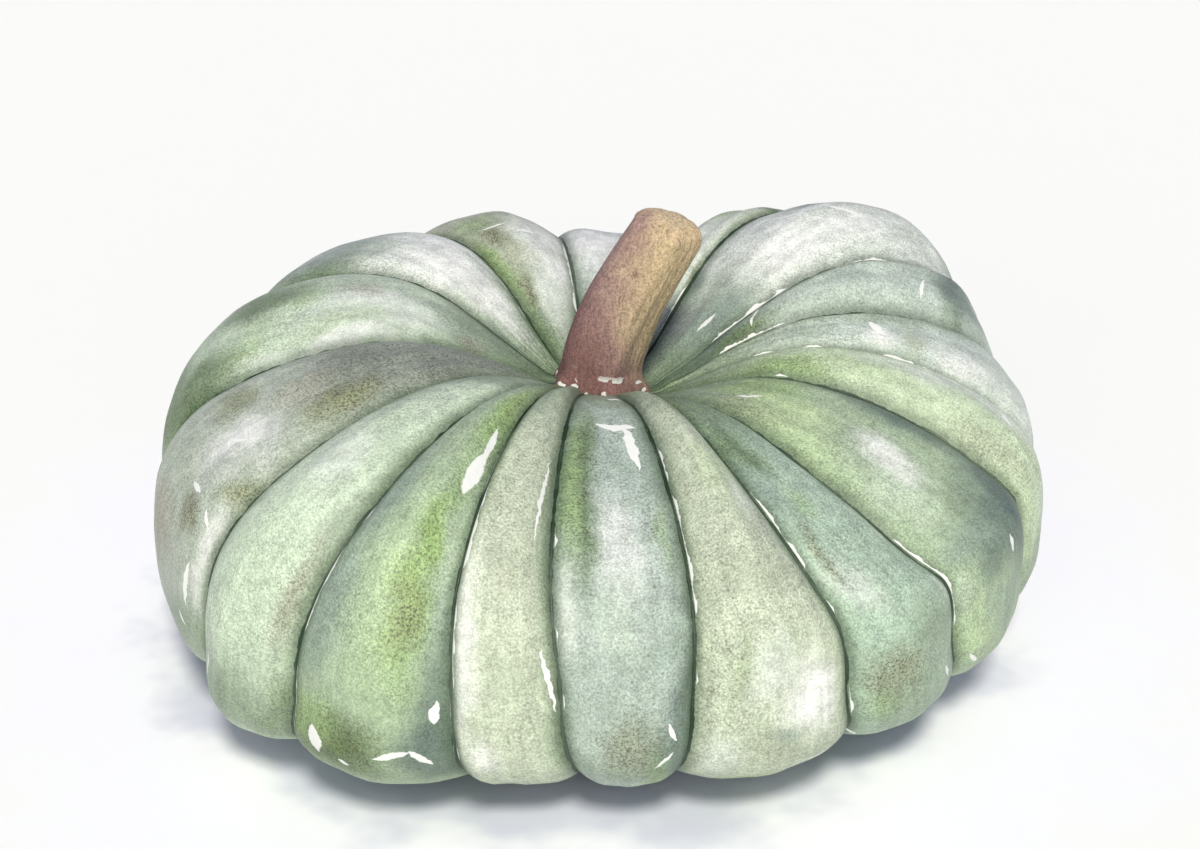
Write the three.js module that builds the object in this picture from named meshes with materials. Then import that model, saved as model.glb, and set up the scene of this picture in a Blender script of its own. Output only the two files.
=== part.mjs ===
// A squat, grey-green pumpkin with seventeen uneven ribs and a leaning stem, in millimetres, +Z up.
// It rests on z = 0, and the origin is under the middle of the space that it takes up.

import * as THREE from 'three';

// The body. Rises and drops are measured from its widest level, and a roundness of 2 is an ellipse.
const HALF_WIDTH = 150;
const CROWN = { reach: 70, sideways: 1.9, upright: 3.2 };
const BASE = { reach: 52, sideways: 2.3, upright: 3.0 };

// The cavity round the stem is deepest a little behind and to the right of the stem.
const CAVITY = { depth: 40, spread: 51, x: 5.5, y: 10.5 };
const BLOSSOM_HOLLOW = { depth: 9, spread: 55 };

// Grooves are shallow where ribs are narrow, and never deeper than their full depth.
const GROOVE = { depth: 7, slope: 0.2 };
const RIB_ROUNDNESS = { across: 2.2, edge: 0.75 };

// How far from the stem a rib's own reach is felt in full, and how high up the body its own lift is.
const FULL_REACH_RADIUS = 110;
const FULL_LIFT_HEIGHT = 0.5;

// Ribs, counter-clockwise from the front as seen from above. Width and sweep are in degrees: sweep is
// how far the groove before a rib turns on its way up to the stem. Reach and lift are in millimetres,
// outwards and upwards from the body's plain form.
const FIRST_GROOVE = -94;
const RIBS = [
  { width: 15, sweep: -4, reach: -4, lift: -10 },
  { width: 19, sweep: 2, reach: -1, lift: -1 },
  { width: 18, sweep: -7, reach: 0, lift: -10 },
  { width: 21, sweep: -10, reach: -2, lift: -12 },
  { width: 15, sweep: 1, reach: -3, lift: -7 },
  { width: 21, sweep: 5, reach: -3, lift: -4 },
  { width: 11, sweep: -7, reach: -2, lift: 6 },
  { width: 24, sweep: -5, reach: 9, lift: 16 },
  { width: 23, sweep: 8, reach: 5, lift: 3 },
  { width: 24, sweep: -2, reach: -1, lift: -9 },
  { width: 27, sweep: 0, reach: -2, lift: 3 },
  { width: 35, sweep: -2, reach: -1, lift: 3 },
  { width: 28, sweep: -11, reach: -5, lift: 5 },
  { width: 31, sweep: 8, reach: -2, lift: 3 },
  { width: 18, sweep: 9, reach: 10, lift: 6 },
  { width: 18, sweep: 8, reach: 9, lift: 6 },
  { width: 12, sweep: -1, reach: -4, lift: -1 },
];

// The floor meets the lowest ribs in flat spots, this far below the widest level.
const FLOOR_DROP = 46.6;

// The stem's axis beside the middle of the body's box, which is the origin.
const STEM_AXIS = { x: -1, y: -1.5 };

// The seat is a flat, tilted spot in the cavity, a little wider than the stem's foot. Its height is
// above the widest level, and the body's rows of points start at its edge.
const SEAT = { x: 1, height: 35, radius: 18, edge: 17, blend: 8, fallRight: 0.14, fallBack: 0.22 };
const SEAT_GAP = 0.3;

// The stem leans to the right. Its centreline runs through these points above the middle of its foot.
const STEM_LINE = [
  [0, 0, 0],
  [1, 0, 12],
  [7, 1, 28],
  [15, 2, 43],
  [21, 3, 53],
  [23, 3, 59],
];
const STEM = { footRadius: 15, shaftRadius: 13.2, endRadius: 11.3, footHeight: 9, roundedEnd: 6 };
const STEM_RIDGES = { count: 5, height: 0.05, turn: 0.6 };

// How finely each surface is divided.
const DEGREES_PER_COLUMN = 2.6;
const BODY_ROWS = 33;
const PROFILE_STEPS = 600;
const STEM_SIDES = 30;
const STEM_ROWS = 15;
const END_ROWS = 5;

const clamp01 = (value) => Math.min(1, Math.max(0, value));
const smooth = (value) => clamp01(value) ** 2 * (3 - 2 * clamp01(value));
const mix = (from, to, share) => from + (to - from) * share;
const hill = (distance, spread) => Math.exp(-((distance / spread) ** 2));

// A closed surface of rings from one pole to the other, as one mesh that faces outwards.
function closedRings(firstPole, rings, lastPole) {
  const sides = rings[0].length;
  const points = [firstPole, ...rings.flat(), lastPole];
  const last = points.length - 1;
  const at = (ring, side) => 1 + ring * sides + (side % sides);
  const faces = [];
  for (let side = 0; side < sides; side += 1) {
    faces.push(0, at(0, side), at(0, side + 1));
    for (let ring = 0; ring < rings.length - 1; ring += 1) {
      faces.push(at(ring, side), at(ring + 1, side), at(ring + 1, side + 1));
      faces.push(at(ring, side), at(ring + 1, side + 1), at(ring, side + 1));
    }
    faces.push(at(rings.length - 1, side), last, at(rings.length - 1, side + 1));
  }
  const geometry = new THREE.BufferGeometry();
  geometry.setAttribute('position', new THREE.Float32BufferAttribute(points.flat(), 3));
  geometry.setIndex(faces);
  geometry.computeVertexNormals();
  return geometry;
}

// The body's plain form: radius and height at an angle down from the stem's pole.
function plainForm(polar) {
  const across = Math.sin(polar);
  const up = Math.cos(polar);
  const half = up > 0 ? CROWN : BASE;
  const radius = HALF_WIDTH * Math.abs(across) ** (2 / half.sideways);
  const rise = half.reach * Math.abs(up) ** (2 / half.upright);
  const height = up > 0
    ? rise - CAVITY.depth * hill(radius, CAVITY.spread)
    : BLOSSOM_HOLLOW.depth * hill(radius, BLOSSOM_HOLLOW.spread) - rise;
  return { radius, height, up };
}

// Stations along the plain form at equal distances, from the seat's edge down to the blossom end,
// each with the direction that it faces.
function bodyStations(count) {
  const fine = Array.from({ length: PROFILE_STEPS + 1 }, (_, i) => plainForm((Math.PI * i) / PROFILE_STEPS));
  const run = [0];
  for (let i = 1; i <= PROFILE_STEPS; i += 1) {
    run.push(run[i - 1] + Math.hypot(fine[i].radius - fine[i - 1].radius, fine[i].height - fine[i - 1].height));
  }
  const seatEdge = run[fine.findIndex((point) => point.radius >= SEAT.edge)];
  const stations = [];
  for (let row = 0; row < count; row += 1) {
    const target = mix(seatEdge, run[PROFILE_STEPS], row / count);
    const i = run.findIndex((length) => length >= target);
    const share = (target - run[i - 1]) / (run[i] - run[i - 1]);
    const alongRadius = fine[i].radius - fine[i - 1].radius;
    const alongHeight = fine[i].height - fine[i - 1].height;
    const step = Math.hypot(alongRadius, alongHeight);
    stations.push({
      radius: mix(fine[i - 1].radius, fine[i].radius, share),
      height: mix(fine[i - 1].height, fine[i].height, share),
      up: mix(fine[i - 1].up, fine[i].up, share),
      faceOut: -alongHeight / step,
      faceUp: alongRadius / step,
    });
  }
  return stations;
}

// Every column of the body: which rib it is on, and how far across that rib.
function bodyColumns() {
  const columns = [];
  let azimuth = FIRST_GROOVE;
  RIBS.forEach((rib, index) => {
    const before = RIBS[(index + RIBS.length - 1) % RIBS.length];
    const after = RIBS[(index + 1) % RIBS.length];
    const count = Math.max(5, Math.round(rib.width / DEGREES_PER_COLUMN));
    for (let i = 0; i < count; i += 1) {
      columns.push({ rib, before, after, azimuth, share: i / count });
    }
    azimuth += rib.width;
  });
  return columns;
}

// The seat's plane under the stem, above the widest level.
function seatHeight(x, y) {
  return SEAT.height - SEAT.fallRight * (x - SEAT.x) - SEAT.fallBack * y;
}

// A point of the body, beside the stem's axis and above the widest level.
function bodyPoint(station, column) {
  const { rib, before, after, share } = column;
  const startAzimuth = column.azimuth + rib.sweep * station.up;
  const endAzimuth = column.azimuth + rib.width + after.sweep * station.up;
  const azimuth = THREE.MathUtils.degToRad(mix(startAzimuth, endAzimuth, share));

  // The crest stands out in full, and the grooves on both sides lie lower, along the surface's facing.
  const fromCrest = Math.abs(2 * share - 1);
  const crest = (1 - fromCrest ** RIB_ROUNDNESS.across) ** RIB_ROUNDNESS.edge;
  const grooveDepth = (neighbour) => {
    const chord = station.radius * THREE.MathUtils.degToRad((rib.width + neighbour.width) / 2);
    return GROOVE.depth * Math.tanh((GROOVE.slope * chord) / GROOVE.depth);
  };
  const sunk = mix(grooveDepth(before), grooveDepth(after), share) * (1 - crest);

  // A rib's own reach and lift ease into its neighbours' at the grooves.
  const own = 1 - smooth(fromCrest);
  const neighbour = share < 0.5 ? before : after;
  const reach = mix((rib.reach + neighbour.reach) / 2, rib.reach, own);
  const lift = mix((rib.lift + neighbour.lift) / 2, rib.lift, own);
  const outer = smooth(station.radius / FULL_REACH_RADIUS);
  const upper = outer * smooth(Math.max(0, station.up) / FULL_LIFT_HEIGHT);

  const radius = station.radius + reach * outer - sunk * station.faceOut;
  let height = station.height + lift * upper - sunk * station.faceUp;
  const x = radius * Math.cos(azimuth);
  const y = radius * Math.sin(azimuth);
  if (station.up > 0) {
    const offCentre = Math.hypot(x - CAVITY.x, y - CAVITY.y);
    height += CAVITY.depth * (hill(radius, CAVITY.spread) - hill(offCentre, CAVITY.spread));
    const clear = smooth((Math.hypot(x - SEAT.x, y) - SEAT.radius) / SEAT.blend);
    height = mix(seatHeight(x, y), height, clear);
  }
  return [x, y, Math.max(height, -FLOOR_DROP)];
}

function makeFruit() {
  const columns = bodyColumns();
  const rings = bodyStations(BODY_ROWS).map((station) => columns.map((column) => bodyPoint(station, column)));
  const blossomEnd = plainForm(Math.PI).height;
  const geometry = closedRings([0, 0, seatHeight(0, 0)], rings, [0, 0, blossomEnd]);
  const rind = new THREE.MeshStandardMaterial({ color: 0x94a88a, roughness: 0.5, metalness: 0 });
  const fruit = new THREE.Mesh(geometry, rind);
  fruit.name = 'fruit';
  return fruit;
}

// The stem's radius at a share of its length and an angle round it, with low rounded ridges.
function stemRadius(share, angle, length) {
  const foot = (1 - smooth((share * length) / STEM.footHeight)) * (STEM.footRadius - STEM.shaftRadius);
  const shaft = mix(STEM.shaftRadius, STEM.endRadius, smooth(share));
  const ridge = 1 + STEM_RIDGES.height * Math.cos(STEM_RIDGES.count * angle + STEM_RIDGES.turn * share);
  return (shaft + foot) * ridge;
}

// A ring of the stem round a middle point, in the plane that faces along the given direction.
function stemRing(middle, facing, radiusAt) {
  const right = new THREE.Vector3(1, 0, 0).addScaledVector(facing, -facing.x).normalize();
  const back = new THREE.Vector3().crossVectors(facing, right);
  return Array.from({ length: STEM_SIDES }, (_, side) => {
    const angle = (2 * Math.PI * side) / STEM_SIDES;
    const radius = radiusAt(angle);
    return new THREE.Vector3().copy(middle)
      .addScaledVector(right, radius * Math.cos(angle))
      .addScaledVector(back, radius * Math.sin(angle))
      .toArray();
  });
}

function makeStem() {
  const line = new THREE.CatmullRomCurve3(STEM_LINE.map((point) => new THREE.Vector3(...point)));
  const length = line.getLength();
  const seatFacing = new THREE.Vector3(SEAT.fallRight, SEAT.fallBack, 1).normalize();
  const ringAt = (share, scale) => {
    const facing = seatFacing.clone().lerp(line.getTangentAt(share), smooth(share * 3)).normalize();
    return stemRing(line.getPointAt(share), facing, (angle) => scale * stemRadius(share, angle, length));
  };

  // The cut end is rounded over: its rings shrink along a quarter circle, from the last row to the tip.
  const endStart = 1 - STEM.roundedEnd / length;
  const rings = [];
  for (let row = 0; row <= STEM_ROWS; row += 1) {
    rings.push(ringAt((endStart * row) / STEM_ROWS, 1));
  }
  for (let row = 1; row < END_ROWS; row += 1) {
    const turn = (Math.PI / 2) * (row / END_ROWS);
    rings.push(ringAt(mix(endStart, 1, Math.sin(turn)), Math.cos(turn)));
  }
  rings.reverse();
  const geometry = closedRings(line.getPointAt(1).toArray(), rings, [0, 0, 0]);
  const bark = new THREE.MeshStandardMaterial({ color: 0x9a6a52, roughness: 0.85, metalness: 0 });
  const stem = new THREE.Mesh(geometry, bark);
  stem.name = 'stem';
  stem.position.set(SEAT.x, 0, SEAT.height + SEAT_GAP);
  return stem;
}

const group = new THREE.Group();
group.add(makeFruit(), makeStem());
group.position.set(STEM_AXIS.x, STEM_AXIS.y, FLOOR_DROP);

export default group;
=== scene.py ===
import math

import bpy
import numpy as np
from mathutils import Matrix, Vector


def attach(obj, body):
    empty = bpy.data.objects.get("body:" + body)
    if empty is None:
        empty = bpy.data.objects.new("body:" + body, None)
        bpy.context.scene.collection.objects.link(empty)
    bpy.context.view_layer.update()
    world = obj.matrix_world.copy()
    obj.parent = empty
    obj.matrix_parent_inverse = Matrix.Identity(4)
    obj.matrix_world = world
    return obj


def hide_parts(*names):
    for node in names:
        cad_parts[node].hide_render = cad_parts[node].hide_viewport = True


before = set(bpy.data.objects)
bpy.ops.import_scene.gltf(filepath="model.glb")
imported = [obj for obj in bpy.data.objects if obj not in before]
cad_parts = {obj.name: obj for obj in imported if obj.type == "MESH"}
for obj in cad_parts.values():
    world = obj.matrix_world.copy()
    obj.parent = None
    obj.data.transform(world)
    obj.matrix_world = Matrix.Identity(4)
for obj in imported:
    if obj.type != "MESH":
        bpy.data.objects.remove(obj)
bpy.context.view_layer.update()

# The pumpkin's form, in millimetres and degrees, beside its stem's axis and above its widest level.
MM = 0.001
HALF_WIDTH = 150
CROWN = {"reach": 70, "sideways": 1.9, "upright": 3.2}
BASE = {"reach": 52, "sideways": 2.3, "upright": 3.0}
CAVITY = {"depth": 40, "spread": 51, "x": 5.5, "y": 10.5}
BLOSSOM_HOLLOW = {"depth": 9, "spread": 55}
GROOVE = {"depth": 7, "slope": 0.2}
RIB_ROUNDNESS = {"across": 2.2, "edge": 0.75}
FULL_REACH_RADIUS = 110
FULL_LIFT_HEIGHT = 0.5
FLOOR_DROP = 46.6
STEM_AXIS = {"x": -1, "y": -1.5}
SEAT = {"x": 1, "height": 35, "radius": 15, "blend": 9, "fall_right": 0.14, "fall_back": 0.22}

# Unevenness of the rind, in millimetres. Each kind of lump has its height, size and seed.
LUMPS = [(0.9, 46, 11), (0.32, 13, 23), (0.1, 4.5, 31)]
VEINS = {"height": 0.22, "waves": 3.2, "wander": 2.2}
WRINKLES = {"height": 0.35, "waves": 88, "wander": 3, "radius": 24, "spread": 13}
BUTTON = {"rim": 1.4, "rim_radius": 10, "rim_spread": 3.2, "middle": 1.6, "middle_spread": 6.5}

# Ribs, counter-clockwise from the front as seen from above. Width and sweep are in degrees, and reach
# and lift in millimetres. Marks are soft patches of a pigment: how far along the rib from stem to
# blossom end (0 to 1), how far across it (-1 to 1), half length, half breadth and strength. Besides
# the rind's own colour, the marks hold painted light: white and pale patches are painted highlights,
# and dark slate, teal and forest patches, many of them along the ribs' edges, are painted shade.
FIRST_GROOVE = -94
RIBS = [
    {"width": 15, "sweep": -4, "reach": -4, "lift": -10, "ground": "sea", "marks": [
        ("leaf", 0.29, -0.72, 0.11, 0.28, 0.85), ("forest", 0.24, -0.45, 0.06, 0.24, 1.0),
        ("teal", 0.26, 0.85, 0.07, 0.35, 0.8), ("teal", 0.265, 0.0, 0.04, 0.4, 0.35),
        ("white", 0.35, 0.0, 0.06, 0.5, 0.6), ("pale", 0.425, -0.78, 0.06, 0.22, 0.95),
        ("forest", 0.33, -0.5, 0.08, 0.16, 0.95), ("leaf", 0.345, 0.75, 0.035, 0.13, 0.4),
        ("teal", 0.44, 0.45, 0.04, 0.3, 0.5), ("mint", 0.42, -0.1, 0.04, 0.3, 0.4),
        ("slate", 0.5, 0.98, 0.14, 0.36, 1.0), ("slate", 0.57, 0.7, 0.04, 0.6, 0.8),
        ("russet", 0.555, 0.1, 0.04, 0.55, 0.6), ("sage", 0.575, -0.4, 0.03, 0.6, 0.6)]},
    {"width": 19, "sweep": 2, "reach": -1, "lift": -1, "ground": "cream", "marks": [
        ("forest", 0.195, 0.5, 0.04, 0.9, 0.75), ("sage", 0.29, -0.98, 0.08, 0.3, 0.8),
        ("lime", 0.3, 0.2, 0.05, 0.6, 0.5), ("pale", 0.325, 0.45, 0.025, 0.25, 0.7),
        ("sage", 0.4, 0.98, 0.06, 0.25, 0.65), ("khaki", 0.4, 0.0, 0.025, 0.8, 0.6),
        ("pale", 0.48, -0.1, 0.035, 0.35, 0.9), ("white", 0.515, 0.42, 0.05, 0.34, 1.0),
        ("khaki", 0.56, 0.0, 0.03, 0.5, 0.6), ("teal", 0.545, 0.1, 0.012, 0.15, 0.6),
        ("pale", 0.57, -0.65, 0.03, 0.35, 0.8), ("leaf", 0.475, -0.45, 0.04, 0.12, 0.3)]},
    {"width": 18, "sweep": -7, "reach": 0, "lift": -10, "ground": "aqua", "marks": [
        ("forest", 0.17, 0.0, 0.09, 1.6, 0.85), ("forest", 0.255, -0.6, 0.04, 0.55, 0.9),
        ("teal", 0.315, -0.95, 0.06, 0.3, 0.95), ("leaf", 0.325, -0.3, 0.03, 0.25, 0.45),
        ("mint", 0.365, 0.8, 0.03, 0.3, 0.5), ("pale", 0.425, -0.5, 0.04, 0.4, 0.7),
        ("russet", 0.385, -0.6, 0.045, 0.12, 0.75), ("sage", 0.49, 0.3, 0.05, 0.5, 0.85),
        ("pale", 0.46, 0.88, 0.035, 0.13, 0.75), ("russet", 0.525, -0.4, 0.035, 0.5, 0.8),
        ("sage", 0.565, 0.0, 0.045, 1.5, 0.7), ("leaf", 0.555, -0.6, 0.025, 0.3, 0.4)]},
    {"width": 21, "sweep": -10, "reach": -2, "lift": -12, "ground": "moss", "marks": [
        ("leaf", 0.185, 0.1, 0.05, 0.7, 0.75), ("lime", 0.225, -0.35, 0.05, 0.5, 1.0),
        ("lime", 0.25, -0.75, 0.08, 0.4, 0.6), ("russet", 0.2, -0.65, 0.05, 0.3, 0.5),
        ("mint", 0.35, -0.4, 0.05, 0.35, 0.8), ("white", 0.325, 0.0, 0.045, 0.32, 0.8),
        ("slate", 0.305, 0.98, 0.1, 0.48, 1.0), ("slate", 0.41, 0.75, 0.055, 0.6, 1.0),
        ("slate", 0.44, 0.4, 0.065, 0.8, 1.0), ("teal", 0.43, -0.4, 0.03, 0.5, 0.6),
        ("slate", 0.48, 0.8, 0.04, 0.6, 0.8), ("slate", 0.465, -0.2, 0.025, 0.4, 0.7),
        ("lime", 0.53, -0.6, 0.04, 0.5, 0.6), ("teal", 0.52, 0.0, 0.03, 0.5, 0.6),
        ("mint", 0.485, -0.95, 0.04, 0.25, 0.8)]},
    {"width": 15, "sweep": 1, "reach": -3, "lift": -7, "ground": "spring", "marks": [
        ("leaf", 0.19, -0.6, 0.06, 0.6, 0.85), ("sage", 0.14, -0.5, 0.04, 0.8, 0.5),
        ("lime", 0.27, 0.1, 0.06, 0.6, 0.7), ("pale", 0.38, 0.5, 0.09, 0.35, 0.8),
        ("pale", 0.3, 0.3, 0.06, 0.5, 0.6), ("taupe", 0.4, -0.7, 0.06, 0.5, 0.4),
        ("pale", 0.49, -0.1, 0.03, 0.5, 0.5), ("sage", 0.55, -0.5, 0.04, 1.0, 0.7)]},
    {"width": 21, "sweep": 5, "reach": -3, "lift": -4, "ground": "silver", "marks": [
        ("sage", 0.15, 0.6, 0.06, 0.8, 0.7), ("sage", 0.205, 0.0, 0.03, 1.5, 0.45),
        ("white", 0.28, -0.35, 0.022, 0.45, 0.95), ("khaki", 0.315, -0.3, 0.012, 0.7, 0.6),
        ("white", 0.365, -0.5, 0.035, 0.5, 0.9), ("pale", 0.42, -0.4, 0.06, 0.8, 0.95),
        ("sage", 0.3, 0.65, 0.1, 0.35, 0.6), ("sage", 0.5, -0.5, 0.035, 1.2, 0.8)]},
    {"width": 11, "sweep": -7, "reach": -2, "lift": 6, "ground": "silver", "marks": [
        ("slate", 0.1, 0.0, 0.06, 1.6, 1.0), ("forest", 0.155, -0.5, 0.035, 0.7, 0.85),
        ("teal", 0.255, 0.2, 0.04, 0.4, 0.6), ("pale", 0.29, 0.95, 0.06, 0.25, 0.9),
        ("sage", 0.375, -0.4, 0.018, 0.9, 0.7), ("slate", 0.395, 0.2, 0.045, 1.0, 1.0),
        ("pale", 0.475, -0.8, 0.03, 0.3, 0.6)]},
    {"width": 24, "sweep": -5, "reach": 9, "lift": 16, "ground": "pale", "marks": [
        ("teal", 0.13, -0.4, 0.06, 0.9, 0.85), ("stone", 0.14, 0.3, 0.05, 0.5, 0.7),
        ("white", 0.215, -0.25, 0.04, 0.6, 0.95), ("white", 0.27, -0.45, 0.06, 0.3, 0.8),
        ("slate", 0.165, 0.9, 0.02, 0.3, 0.7), ("teal", 0.282, 0.45, 0.03, 0.25, 0.95),
        ("stone", 0.33, 0.15, 0.05, 0.35, 0.7), ("sage", 0.43, -0.5, 0.04, 1.2, 0.9)]},
    {"width": 23, "sweep": 8, "reach": 5, "lift": 3, "ground": "khaki", "marks": [
        ("pale", 0.2, -0.4, 0.13, 1.2, 1.0), ("olive", 0.17, -0.98, 0.03, 0.2, 0.7),
        ("forest", 0.325, -0.8, 0.025, 0.5, 0.85), ("leaf", 0.3, 0.0, 0.04, 0.6, 0.6)]},
    {"width": 24, "sweep": -2, "reach": -1, "lift": -9, "ground": "sea", "marks": [
        ("slate", 0.1, 0.0, 0.05, 1.5, 0.8), ("teal", 0.16, 0.8, 0.04, 0.6, 0.7),
        ("white", 0.26, 0.5, 0.1, 1.0, 1.0)]},
    {"width": 27, "sweep": 0, "reach": -2, "lift": 3, "ground": "khaki", "marks": [
        ("forest", 0.11, 0.6, 0.035, 0.7, 0.7), ("white", 0.21, -0.5, 0.08, 0.65, 1.0),
        ("pale", 0.15, 0.0, 0.07, 0.6, 1.0), ("leaf", 0.2, 0.92, 0.07, 0.2, 0.8),
        ("russet", 0.155, 0.72, 0.025, 0.22, 0.85), ("russet", 0.245, 0.5, 0.03, 0.25, 0.85),
        ("leaf", 0.29, 0.5, 0.03, 0.45, 0.5), ("pale", 0.25, -0.2, 0.05, 0.5, 0.9)]},
    {"width": 35, "sweep": -2, "reach": -1, "lift": 3, "ground": "pale", "marks": [
        ("sage", 0.115, -0.9, 0.05, 0.4, 0.9), ("teal", 0.12, 0.95, 0.04, 0.3, 0.85),
        ("white", 0.17, 0.1, 0.09, 0.75, 1.0), ("white", 0.26, -0.5, 0.04, 0.5, 0.8),
        ("sage", 0.31, 0.4, 0.045, 0.45, 0.7), ("forest", 0.36, 0.9, 0.08, 0.45, 1.0),
        ("teal", 0.35, 0.0, 0.05, 1.0, 0.75)]},
    {"width": 28, "sweep": -11, "reach": -5, "lift": 5, "ground": "mint", "marks": [
        ("taupe", 0.12, 0.55, 0.02, 0.4, 0.7), ("pale", 0.22, 0.3, 0.08, 0.6, 1.0),
        ("leaf", 0.3, 0.0, 0.04, 0.3, 0.5), ("taupe", 0.24, -0.1, 0.03, 0.3, 0.5),
        ("forest", 0.345, -0.2, 0.055, 0.5, 0.9), ("leaf", 0.345, 0.75, 0.03, 0.3, 0.5),
        ("forest", 0.395, 0.85, 0.055, 0.45, 1.0), ("lime", 0.34, 0.4, 0.03, 0.2, 0.4),
        ("forest", 0.45, 0.5, 0.06, 0.8, 0.9), ("lime", 0.25, 0.6, 0.05, 0.3, 0.5),
        ("white", 0.27, 0.9, 0.09, 0.22, 0.8)]},
    {"width": 31, "sweep": 8, "reach": -2, "lift": 3, "ground": "stone", "marks": [
        ("ash", 0.16, 0.2, 0.1, 1.6, 1.0), ("ash", 0.25, 0.0, 0.055, 1.3, 1.0),
        ("olive", 0.28, 0.65, 0.045, 0.3, 0.7), ("taupe", 0.3, 0.1, 0.03, 0.4, 0.6),
        ("forest", 0.36, -1.0, 0.07, 0.26, 1.0), ("olive", 0.35, -0.4, 0.025, 0.3, 0.6),
        ("white", 0.37, 0.25, 0.04, 0.42, 0.95), ("olive", 0.4, 0.85, 0.02, 0.25, 0.8),
        ("russet", 0.44, 0.4, 0.025, 0.2, 0.8), ("white", 0.46, 0.88, 0.06, 0.16, 0.85),
        ("taupe", 0.48, 0.0, 0.04, 0.3, 0.85), ("sage", 0.545, 0.7, 0.03, 0.6, 0.8)]},
    {"width": 18, "sweep": 9, "reach": 10, "lift": 6, "ground": "mint", "marks": [
        ("sage", 0.15, -0.2, 0.05, 1.0, 0.8), ("sage", 0.2, -0.7, 0.09, 0.55, 0.95),
        ("mint", 0.19, 0.75, 0.04, 0.3, 0.9), ("pale", 0.325, 0.0, 0.05, 0.5, 0.6),
        ("sage", 0.36, 1.0, 0.16, 0.32, 0.9), ("sage", 0.36, -1.0, 0.1, 0.25, 0.7),
        ("sage", 0.47, -0.8, 0.06, 0.3, 0.65), ("taupe", 0.44, 0.85, 0.06, 0.2, 0.5),
        ("sage", 0.55, 0.0, 0.05, 1.5, 0.95), ("forest", 0.56, 0.95, 0.05, 0.35, 0.7)]},
    {"width": 18, "sweep": 8, "reach": 9, "lift": 6, "ground": "moss", "marks": [
        ("forest", 0.12, 0.0, 0.05, 1.6, 0.7), ("leaf", 0.225, 0.6, 0.07, 0.55, 0.95),
        ("teal", 0.33, -0.8, 0.08, 0.5, 0.85), ("teal", 0.44, -0.7, 0.06, 0.4, 0.9),
        ("slate", 0.48, -0.98, 0.06, 0.25, 0.9), ("lime", 0.43, 0.15, 0.09, 0.4, 0.6),
        ("leaf", 0.4, 0.42, 0.11, 0.3, 1.0), ("olive", 0.44, 0.42, 0.035, 0.2, 0.6),
        ("mint", 0.39, 0.8, 0.06, 0.13, 0.5), ("teal", 0.48, 0.92, 0.08, 0.3, 0.9),
        ("slate", 0.535, 0.78, 0.05, 0.42, 1.0), ("bog", 0.562, -0.3, 0.045, 0.7, 1.0),
        ("leaf", 0.54, -0.7, 0.035, 0.45, 0.7),
        ("slate", 0.57, 0.9, 0.05, 0.5, 1.0)]},
    {"width": 12, "sweep": -1, "reach": -4, "lift": -1, "ground": "cream", "marks": [
        ("sage", 0.19, -0.4, 0.05, 0.9, 0.8), ("sage", 0.24, -1.0, 0.06, 0.3, 0.8),
        ("sage", 0.36, 1.0, 0.16, 0.36, 0.9), ("khaki", 0.4, 0.1, 0.04, 0.35, 0.7),
        ("white", 0.47, -0.82, 0.1, 0.32, 0.85), ("white", 0.56, -0.4, 0.025, 0.35, 0.7),
        ("sage", 0.54, 1.0, 0.07, 0.3, 0.7), ("slate", 0.585, -1.0, 0.05, 0.25, 0.7)]},
]

# The picture shows the back ribs only near the stem. From these places on, a rib's marks are drawn by
# chance, since its lower part is hidden.
BACK_RIBS = (8, 9, 10, 11)
HIDDEN_FROM = {"back": 0.36, "front": 0.62}
HIDDEN_MARKS = 11
HIDDEN_PIGMENTS = ("pale", "sage", "teal", "mint", "olive", "leaf")

# Painted highlights, drawn as pale waxy scuffs: rib number, along, across, length and breadth in
# millimetres, and turn in degrees.
SCUFF_HIGHLIGHTS = [
    (15, 0.272, 0.73, 17, 2.2, -12), (15, 0.306, 0.7, 19, 5.0, -4), (16, 0.317, 0.6, 34, 1.2, -1),
    (16, 0.487, 0.77, 24, 1.6, -7), (15, 0.554, -0.6, 12, 4.6, -14), (15, 0.57, -0.2, 4, 1.8, -80),
    (15, 0.554, 0.38, 10, 2.6, 73), (15, 0.56, 0.66, 10, 2.0, -30), (15, 0.516, 0.82, 8, 2.6, 8),
    (13, 0.494, 0.75, 17, 2.4, -1), (13, 0.533, 0.68, 7, 1.4, -56), (13, 0.421, 0.4, 8, 1.8, -90),
    (0, 0.212, 0.24, 10, 3.8, -68), (0, 0.243, 0.47, 24, 2.4, -7), (13, 0.431, 0.75, 7, 1.2, -47),
    (3, 0.467, 0.17, 8, 2.4, 13), (2, 0.549, 0.62, 7, 1.8, -11), (1, 0.593, 0.5, 9, 1.6, -73),
    (0, 0.533, 0.65, 8, 1.5, -18), (0, 0.562, 0.55, 8, 1.6, 45), (0, 0.137, 0.45, 6, 1.6, -36),
    (5, 0.277, 0.0, 13, 3.6, 72), (3, 0.188, -0.25, 9, 1.1, -19), (13, 0.371, 0.33, 7, 1.6, 50),
    (14, 0.533, -0.43, 10, 1.4, 6), (2, 0.604, -0.88, 9, 1.7, -34), (3, 0.562, -0.7, 7, 1.7, -36),
    (6, 0.166, 0.23, 7, 1.4, -70), (7, 0.128, -0.28, 8, 1.3, 7), (7, 0.292, -0.15, 13, 1.8, 40),
    (7, 0.25, 0.25, 10, 1.4, 62), (6, 0.339, -0.1, 10, 1.6, -64), (4, 0.404, 0.35, 6, 2.2, 41),
    (10, 0.262, 0.35, 10, 1.6, 85), (10, 0.242, -0.15, 9, 1.8, 77), (9, 0.3, -0.4, 8, 1.6, 20),
    (8, 0.36, 0.1, 10, 1.9, 30), (11, 0.5, 0.2, 14, 2.2, 10), (12, 0.55, -0.3, 9, 1.9, 40),
]
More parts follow.
